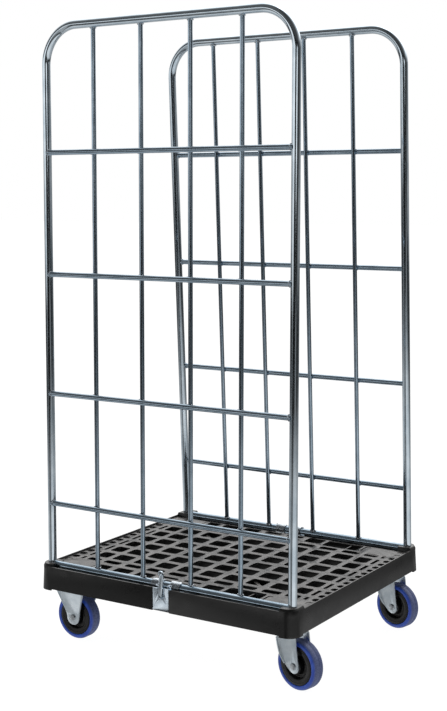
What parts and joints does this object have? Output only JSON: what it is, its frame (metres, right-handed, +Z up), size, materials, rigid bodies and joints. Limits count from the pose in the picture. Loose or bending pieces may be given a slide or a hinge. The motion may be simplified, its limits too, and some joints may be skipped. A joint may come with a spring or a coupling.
{
  "type": "roll cage container",
  "caption": "Two-sided roll cage: a perforated plastic dolly on fixed and swivel casters, with plug-in zinc-plated tube panels on the long sides and a turning latch at the foot of each.",
  "frame": {"origin": "on the floor, under the middle of the overall box with the swivel wheels trailing as they stand", "axes": "+Z up, X along the two side panels with the swivel casters at +X, Y across the cage with the front panel at -Y"},
  "size_m": [0.8382, 0.7356, 1.6498],
  "materials": {
    "deck_plastic": "moulded black polyethylene, satin, finely grained",
    "zinc_tube": "bright zinc plating on welded steel tube",
    "coil_wire": "zinc-plated spring wire",
    "latch_steel": "zinc-plated pressed steel",
    "caster_pressing": "pale zinc-plated pressed steel",
    "bolt_steel": "zinc-plated steel",
    "bearing_steel": "bearing steel, smooth",
    "rim_nylon": "black nylon, satin",
    "tyre_rubber": "blue elastic rubber, matt"
  },
  "bodies": {
    "dolly": {"base_deck": "deck_plastic", "caster_bolts": "bolt_steel", "swivel_balls": "bearing_steel", "front_latch_plate": "latch_steel", "front_latch_rivet": "latch_steel", "front_swivel_plate": "caster_pressing", "front_swivel_kingpin": "bolt_steel", "front_fixed_fork": "caster_pressing", "front_fixed_axle_bolt": "bolt_steel", "front_fixed_axle_nut": "bolt_steel", "back_latch_plate": "latch_steel", "back_latch_rivet": "latch_steel", "back_swivel_plate": "caster_pressing", "back_swivel_kingpin": "bolt_steel", "back_fixed_fork": "caster_pressing", "back_fixed_axle_bolt": "bolt_steel", "back_fixed_axle_nut": "bolt_steel"},
    "front_panel": {"front_hoop": "zinc_tube", "front_bottom_rail": "zinc_tube", "front_upright_1": "zinc_tube", "front_upright_2": "zinc_tube", "front_upright_3": "zinc_tube", "front_upright_4": "zinc_tube", "front_crossbar_1": "zinc_tube", "front_crossbar_2": "zinc_tube", "front_crossbar_3": "zinc_tube", "front_crossbar_4": "zinc_tube", "front_rail_coils": "coil_wire"},
    "front_lever": {"front_latch_lever": "latch_steel"},
    "front_caster_swivel": {"front_swivel_fork": "caster_pressing", "front_swivel_axle_bolt": "bolt_steel", "front_swivel_axle_nut": "bolt_steel"},
    "front_swivel_wheel": {"front_swivel_wheel_rim": "rim_nylon", "front_swivel_wheel_tyre": "tyre_rubber", "front_swivel_wheel_bearings": "bearing_steel"},
    "front_fixed_wheel": {"front_fixed_wheel_rim": "rim_nylon", "front_fixed_wheel_tyre": "tyre_rubber", "front_fixed_wheel_bearings": "bearing_steel"},
    "back_panel": {"back_hoop": "zinc_tube", "back_bottom_rail": "zinc_tube", "back_upright_1": "zinc_tube", "back_upright_2": "zinc_tube", "back_upright_3": "zinc_tube", "back_upright_4": "zinc_tube", "back_crossbar_1": "zinc_tube", "back_crossbar_2": "zinc_tube", "back_crossbar_3": "zinc_tube", "back_crossbar_4": "zinc_tube", "back_rail_coils": "coil_wire"},
    "back_lever": {"back_latch_lever": "latch_steel"},
    "back_caster_swivel": {"back_swivel_fork": "caster_pressing", "back_swivel_axle_bolt": "bolt_steel", "back_swivel_axle_nut": "bolt_steel"},
    "back_swivel_wheel": {"back_swivel_wheel_rim": "rim_nylon", "back_swivel_wheel_tyre": "tyre_rubber", "back_swivel_wheel_bearings": "bearing_steel"},
    "back_fixed_wheel": {"back_fixed_wheel_rim": "rim_nylon", "back_fixed_wheel_tyre": "tyre_rubber", "back_fixed_wheel_bearings": "bearing_steel"}
  },
  "joints": [
    {"name": "front_panel_lift", "type": "slide", "parent": "dolly", "child": "front_panel", "axis": [0, 0.0175, 0.9998], "range_m": [0, 0.07]},
    {"name": "front_lever_turn", "type": "hinge", "parent": "dolly", "child": "front_lever", "pos_m": [-0.01212, -0.3565, 0.19], "axis": [0, -1, 0], "range_deg": [0, 90]},
    {"name": "front_caster_turn", "type": "hinge", "parent": "dolly", "child": "front_caster_swivel", "pos_m": [0.30888, -0.272, 0.1405], "axis": [0, 0, 1], "continuous": true},
    {"name": "front_swivel_wheel_roll", "type": "hinge", "parent": "front_caster_swivel", "child": "front_swivel_wheel", "pos_m": [0.3559, -0.28165, 0.0625], "axis": [0.2011, 0.9796, 0], "continuous": true},
    {"name": "front_fixed_wheel_roll", "type": "hinge", "parent": "dolly", "child": "front_fixed_wheel", "pos_m": [-0.34712, -0.272, 0.0625], "axis": [0, 1, 0], "continuous": true},
    {"name": "back_panel_lift", "type": "slide", "parent": "dolly", "child": "back_panel", "axis": [0, -0.0384, 0.9993], "range_m": [0, 0.07]},
    {"name": "back_lever_turn", "type": "hinge", "parent": "dolly", "child": "back_lever", "pos_m": [-0.02612, 0.3565, 0.19], "axis": [0, 1, 0], "range_deg": [0, 90]},
    {"name": "back_caster_turn", "type": "hinge", "parent": "dolly", "child": "back_caster_swivel", "pos_m": [0.30888, 0.272, 0.1405], "axis": [0, 0, 1], "continuous": true},
    {"name": "back_swivel_wheel_roll", "type": "hinge", "parent": "back_caster_swivel", "child": "back_swivel_wheel", "pos_m": [0.3559, 0.26235, 0.0625], "axis": [0.2011, 0.9796, 0], "continuous": true},
    {"name": "back_fixed_wheel_roll", "type": "hinge", "parent": "dolly", "child": "back_fixed_wheel", "pos_m": [-0.34712, 0.272, 0.0625], "axis": [0, 1, 0], "continuous": true}
  ]
}
